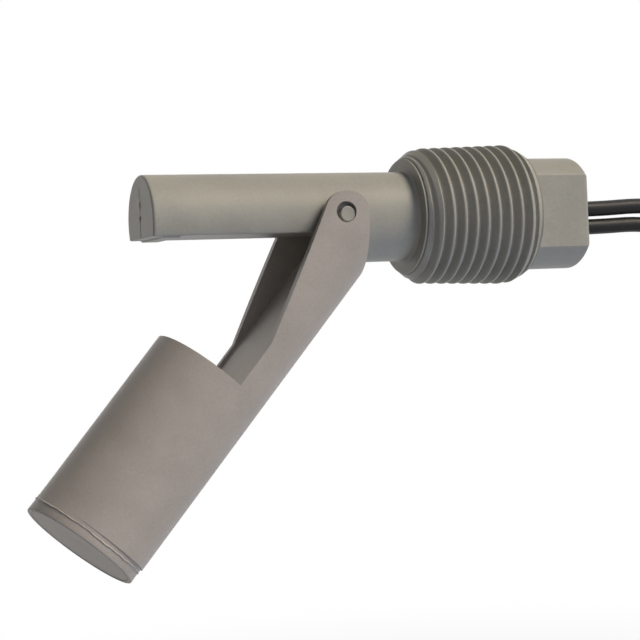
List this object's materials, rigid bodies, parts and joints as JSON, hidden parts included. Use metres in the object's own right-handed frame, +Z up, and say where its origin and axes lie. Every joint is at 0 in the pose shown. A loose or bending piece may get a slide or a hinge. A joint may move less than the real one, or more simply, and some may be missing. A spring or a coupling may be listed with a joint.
{
  "type": "float level switch",
  "caption": "Side-mount float level switch: a hinged hollow float on a stem with a tapered pipe thread, a wrench head and two wire leads.",
  "frame": {"origin": "on the thread's axis, at the front end of the tapered thread, where it enters a tank's port", "axes": "+X along the thread from the stem's tip to the wrench head and the leads, +Z up with the float hanging below the stem, +Y along the hinge axis"},
  "size_m": [0.143, 0.021, 0.0825],
  "materials": {
    "body_pp": "moulded polypropylene, matte",
    "float_pp": "moulded polypropylene, matte",
    "ferrite": "sintered ferrite",
    "reed_glass": "clear",
    "reed_wire": "plated nickel iron",
    "sleeve": "soft tubing",
    "tinned_metal": "tinned copper",
    "lead_pvc": "smooth black PVC",
    "resin": "cast epoxy",
    "tie_nylon": "natural nylon"
  },
  "bodies": {
    "switch": {"switch_body": "body_pp", "reed_glass": "reed_glass", "reed_blade_front": "reed_wire", "reed_blade_rear": "reed_wire", "reed_sleeve": "sleeve", "return_lead_sleeve": "sleeve", "splice_a": "tinned_metal", "splice_b": "tinned_metal", "splice_sleeve_a": "sleeve", "splice_sleeve_b": "sleeve", "conductor_a": "tinned_metal", "conductor_b": "tinned_metal", "lead_root_a": "lead_pvc", "lead_root_b": "lead_pvc", "potting": "resin", "lead_a": "lead_pvc", "lead_b": "lead_pvc", "lead_hank": "lead_pvc", "hank_tie": "tie_nylon", "lead_tail_a": "lead_pvc", "lead_tail_b": "lead_pvc", "stripped_end_a": "tinned_metal", "stripped_end_b": "tinned_metal"},
    "float": {"float_shell": "float_pp", "float_end_cap": "float_pp", "float_magnet": "ferrite", "magnet_retainer": "float_pp"}
  },
  "joints": [
    {"name": "float_hinge", "type": "hinge", "parent": "switch", "child": "float", "pos_m": [-0.01235, 0, 0], "axis": [0, 1, 0], "range_deg": [0, 49.2]}
  ]
}
